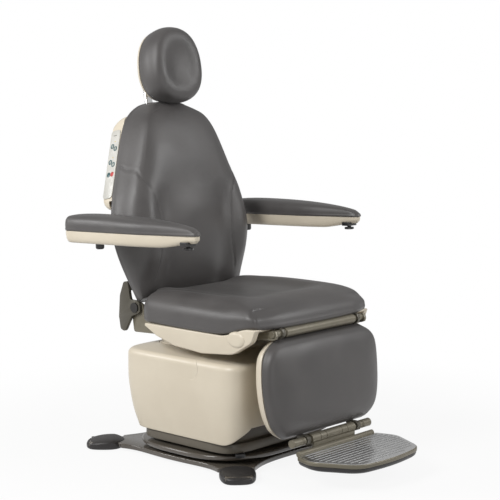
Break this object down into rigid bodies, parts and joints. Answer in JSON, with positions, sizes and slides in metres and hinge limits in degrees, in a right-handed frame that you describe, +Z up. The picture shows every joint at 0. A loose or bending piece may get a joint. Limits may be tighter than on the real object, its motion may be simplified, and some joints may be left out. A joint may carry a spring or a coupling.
{
  "type": "powered examination chair",
  "caption": "Upholstered examination chair with reclining back, linked leg section and foot plate, flip-up arms, tilting headrest, side control panel and a swivelling lift base.",
  "frame": {"origin": "middle of the footprint box, on the floor", "axes": "+Z up, the seated person faces -Y and their left is +X"},
  "size_m": [0.8018, 0.9782, 1.2584],
  "materials": {
    "vinyl": "satin upholstery vinyl",
    "ivory": "smooth ivory moulding",
    "taupe": "semi-gloss taupe paint",
    "base_paint": "gloss dark taupe paint",
    "plinth": "dark matt moulding",
    "boot_rubber": "matt dark grey",
    "steel": "satin",
    "aluminium": "bright ribbed",
    "black": "satin black",
    "panel_white": "smooth off-white",
    "pad_teal": "smooth dark teal",
    "pad_red": "smooth red"
  },
  "bodies": {
    "floor_base": {"base_plate": "base_paint", "leg_boot_front_left": "boot_rubber", "leg_boot_rear_left": "boot_rubber", "leg_boot_front_right": "boot_rubber", "leg_boot_rear_right": "boot_rubber", "swivel_post": "steel", "swivel_race": "steel"},
    "turntable": {"turntable": "base_paint", "plinth_pan": "plinth", "power_inlet": "black", "base_cover": "ivory", "column_outer": "steel", "lift_actuator": "black"},
    "lock_lever": {"swivel_lock_lever": "black"},
    "middle_stage": {"column_middle": "steel", "middle_shroud": "ivory"},
    "seat": {"column_inner": "steel", "upper_shroud": "ivory", "seat_frame": "taupe", "seat_shell": "ivory", "seat_cushion": "vinyl", "recline_drive": "black", "recline_pin_right": "steel", "recline_pin_left": "steel", "leg_hinge_bar": "taupe"},
    "link": {"sync_link": "steel"},
    "back": {"back_frame": "taupe", "arm_pin_right": "steel", "arm_pin_left": "steel", "back_shell": "ivory", "back_cushion": "vinyl", "rear_housing": "ivory", "control_panel": "panel_white"},
    "raise_button": {"button_raise": "pad_teal"},
    "lower_button": {"button_lower": "pad_teal"},
    "recline_button": {"button_recline": "pad_teal"},
    "sit_up_button": {"button_sit_up": "pad_teal"},
    "return_button": {"button_return": "pad_teal"},
    "stop_button": {"button_stop": "pad_red"},
    "head_post": {"headrest_post": "steel"},
    "headrest": {"headrest_bracket": "taupe", "headrest_shell": "ivory", "headrest_cushion": "vinyl"},
    "arm_right": {"arm_shell_right": "ivory", "arm_pad_right": "vinyl", "arm_bar_right": "steel"},
    "release_right": {"arm_release_right": "black"},
    "knob_right": {"arm_knob_right": "black"},
    "arm_left": {"arm_shell_left": "ivory", "arm_pad_left": "vinyl", "arm_bar_left": "steel"},
    "release_left": {"arm_release_left": "black"},
    "knob_left": {"arm_knob_left": "black"},
    "leg": {"leg_frame": "taupe", "leg_shell": "ivory", "leg_pad": "vinyl", "foot_hinge_bar": "taupe"},
    "foot": {"foot_plate": "taupe", "foot_tread": "aluminium", "foot_underside": "boot_rubber"}
  },
  "joints": [
    {"name": "swivel", "type": "hinge", "parent": "floor_base", "child": "turntable", "pos_m": [0, 0.13879, 0.04], "axis": [0, 0, 1], "range_deg": [-170, 170]},
    {"name": "swivel_lock", "type": "hinge", "parent": "turntable", "child": "lock_lever", "pos_m": [-0.14913, -0.03893, 0.0517], "axis": [0, 0, 1], "range_deg": [0, 20]},
    {"name": "lift", "type": "slide", "parent": "turntable", "child": "seat", "axis": [0, 0, 1], "range_m": [0, 0.4]},
    {"name": "middle_lift", "type": "slide", "parent": "turntable", "child": "middle_stage", "axis": [0, 0, 1], "range_m": [0, 0.201]},
    {"name": "back_recline", "type": "hinge", "parent": "seat", "child": "back", "pos_m": [0, 0.31379, 0.43], "axis": [-1, 0, 0], "range_deg": [0, 75]},
    {"name": "leg_raise", "type": "hinge", "parent": "seat", "child": "leg", "pos_m": [0, -0.21621, 0.412], "axis": [-1, 0, 0], "range_deg": [0, 75.1]},
    {"name": "link_slide", "type": "slide", "parent": "seat", "child": "link", "axis": [0, -1, 0], "range_m": [0, 0.102]},
    {"name": "foot_fold", "type": "hinge", "parent": "leg", "child": "foot", "pos_m": [0, -0.26271, 0.1099], "axis": [-1, 0, 0], "range_deg": [0, 85]},
    {"name": "headrest_height", "type": "slide", "parent": "back", "child": "head_post", "axis": [0, 0.2079, 0.9781], "range_m": [0, 0.12]},
    {"name": "headrest_tilt", "type": "hinge", "parent": "head_post", "child": "headrest", "pos_m": [0, 0.43619, 1.13087], "axis": [-1, 0, 0], "range_deg": [0, 40]},
    {"name": "arm_right_flip", "type": "hinge", "parent": "back", "child": "arm_right", "pos_m": [-0.352, 0.38887, 0.65572], "axis": [-1, 0, 0], "range_deg": [0, 90]},
    {"name": "arm_right_release", "type": "slide", "parent": "arm_right", "child": "release_right", "axis": [0, 0.0349, 0.9994], "range_m": [0, 0.004], "stiffness_N_per_m": 1500},
    {"name": "arm_right_knob", "type": "hinge", "parent": "arm_right", "child": "knob_right", "pos_m": [-0.352, -0.04722, 0.66089], "axis": [0, 0.0349, 0.9994], "continuous": true},
    {"name": "arm_left_flip", "type": "hinge", "parent": "back", "child": "arm_left", "pos_m": [0.352, 0.38887, 0.65572], "axis": [-1, 0, 0], "range_deg": [0, 90]},
    {"name": "arm_left_release", "type": "slide", "parent": "arm_left", "child": "release_left", "axis": [0, 0.0349, 0.9994], "range_m": [0, 0.004], "stiffness_N_per_m": 1500},
    {"name": "arm_left_knob", "type": "hinge", "parent": "arm_left", "child": "knob_left", "pos_m": [0.352, -0.04722, 0.66089], "axis": [0, 0.0349, 0.9994], "continuous": true},
    {"name": "press_raise", "type": "slide", "parent": "back", "child": "raise_button", "axis": [0.9307, -0.076, -0.3577], "range_m": [0, 0.0008], "stiffness_N_per_m": 400},
    {"name": "press_lower", "type": "slide", "parent": "back", "child": "lower_button", "axis": [0.9307, -0.076, -0.3577], "range_m": [0, 0.0008], "stiffness_N_per_m": 400},
    {"name": "press_recline", "type": "slide", "parent": "back", "child": "recline_button", "axis": [0.9307, -0.076, -0.3577], "range_m": [0, 0.0008], "stiffness_N_per_m": 400},
    {"name": "press_sit_up", "type": "slide", "parent": "back", "child": "sit_up_button", "axis": [0.9307, -0.076, -0.3577], "range_m": [0, 0.0008], "stiffness_N_per_m": 400},
    {"name": "press_return", "type": "slide", "parent": "back", "child": "return_button", "axis": [0.9307, -0.076, -0.3577], "range_m": [0, 0.0008], "stiffness_N_per_m": 400},
    {"name": "press_stop", "type": "slide", "parent": "back", "child": "stop_button", "axis": [0.9307, -0.076, -0.3577], "range_m": [0, 0.0008], "stiffness_N_per_m": 400}
  ],
  "couplings": [
    {"joint": "middle_lift", "follows": "lift", "ratio": 0.5},
    {"joint": "leg_raise", "follows": "back_recline", "ratio": 1},
    {"joint": "link_slide", "follows": "back_recline", "m_per_rad": 0.0772}
  ]
}
